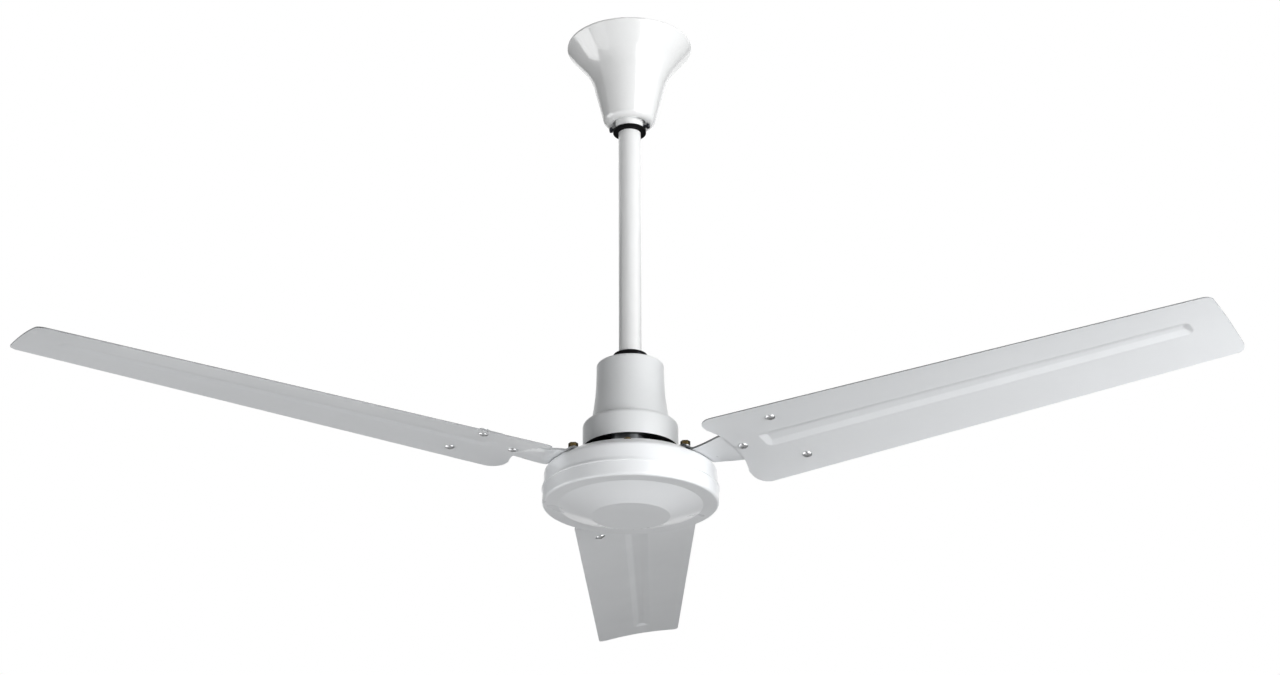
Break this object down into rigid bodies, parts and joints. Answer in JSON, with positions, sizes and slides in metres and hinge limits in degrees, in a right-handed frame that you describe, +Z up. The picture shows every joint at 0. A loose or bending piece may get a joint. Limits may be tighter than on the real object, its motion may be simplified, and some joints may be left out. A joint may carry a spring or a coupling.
{
  "type": "ceiling fan",
  "caption": "Industrial ceiling fan: bell canopy on a downrod, waisted lower canopy, drum motor turning pitched metal blades with pressed beads on screwed arms.",
  "frame": {"origin": "centre of the bracket's top face, which lies on the ceiling plane above the downrod", "axes": "+Z up along the downrod and the rotor's axis, +Y along the bracket's two slots, +X along the hanger bolt"},
  "size_m": [1.2795, 1.1199, 0.6182],
  "materials": {
    "zinc": "zinc plated sheet and fasteners, dull silver",
    "white_enamel": "gloss white powder enamel",
    "satin_grey": "satin pale grey enamel",
    "steel": "turned steel",
    "iron_core": "stacked iron laminations",
    "copper": "enamelled winding wire",
    "cage_metal": "cast cage metal",
    "bolt_bronze": "yellow passivated bolts",
    "cage_brass": "pressed bearing cage",
    "rubber": "black rubber",
    "black_plastic": "black plastic",
    "cream_plastic": "cream terminal plastic",
    "dark_steel": "blackened steel screws"
  },
  "bodies": {
    "ceiling_mount": {"hanger_bracket": "zinc", "hanger_bolt": "zinc", "hanger_nut": "zinc", "hanger_split_pin": "zinc", "rubber_roller": "rubber", "terminal_block": "cream_plastic"},
    "downrod": {"rod_strap": "zinc", "strap_bolt": "zinc", "strap_nut": "zinc", "strap_split_pin": "zinc", "downrod": "white_enamel", "motor_coupling": "steel", "coupling_bolt": "zinc", "coupling_nut": "zinc", "coupling_split_pin": "zinc", "coupling_set_screws": "dark_steel", "motor_shaft": "steel", "stator_core": "iron_core", "stator_windings": "copper", "upper_bearing_inner_race": "steel", "lower_bearing_inner_race": "steel", "shaft_circlip": "dark_steel", "capacitor": "black_plastic", "capacitor_clamp": "zinc", "lead_sleeve": "black_plastic"},
    "upper_canopy": {"upper_canopy": "white_enamel", "upper_collar": "black_plastic", "neck_screws": "dark_steel"},
    "lower_canopy": {"lower_canopy": "satin_grey", "lower_collar": "black_plastic", "collar_screw": "zinc"},
    "rotor": {"upper_casing": "satin_grey", "lower_casing": "satin_grey", "rotor_core": "iron_core", "rotor_cage": "cage_metal", "upper_bearing_outer_race": "steel", "lower_bearing_outer_race": "steel", "casing_screws": "bolt_bronze", "casing_nuts": "zinc", "blade_arm_1": "satin_grey", "blade_arm_2": "satin_grey", "blade_arm_3": "satin_grey", "arm_bolts": "bolt_bronze", "arm_washers": "steel", "arm_nuts": "zinc", "blade_1": "satin_grey", "blade_2": "satin_grey", "blade_3": "satin_grey", "blade_screws": "zinc", "blade_nuts": "zinc"},
    "upper_ball_cage": {"upper_ball_cage": "cage_brass", "upper_bearing_balls": "steel"},
    "lower_ball_cage": {"lower_ball_cage": "cage_brass", "lower_bearing_balls": "steel"}
  },
  "joints": [
    {"name": "rod_swing", "type": "hinge", "parent": "ceiling_mount", "child": "downrod", "pos_m": [0, 0, -0.038], "axis": [1, 0, 0], "range_deg": [-3.5, 3.5]},
    {"name": "upper_canopy_slide", "type": "slide", "parent": "downrod", "child": "upper_canopy", "axis": [0, 0, -1], "range_m": [0, 0.1]},
    {"name": "lower_canopy_slide", "type": "slide", "parent": "downrod", "child": "lower_canopy", "axis": [0, 0, 1], "range_m": [0, 0.11]},
    {"name": "rotor_spin", "type": "hinge", "parent": "downrod", "child": "rotor", "pos_m": [0, 0, -0.563], "axis": [0, 0, 1], "continuous": true},
    {"name": "upper_cage_spin", "type": "hinge", "parent": "downrod", "child": "upper_ball_cage", "pos_m": [0, 0, -0.5601], "axis": [0, 0, 1], "continuous": true},
    {"name": "lower_cage_spin", "type": "hinge", "parent": "downrod", "child": "lower_ball_cage", "pos_m": [0, 0, -0.6111], "axis": [0, 0, 1], "continuous": true}
  ],
  "couplings": [
    {"joint": "upper_cage_spin", "follows": "rotor_spin", "ratio": 0.6185},
    {"joint": "lower_cage_spin", "follows": "rotor_spin", "ratio": 0.619}
  ]
}
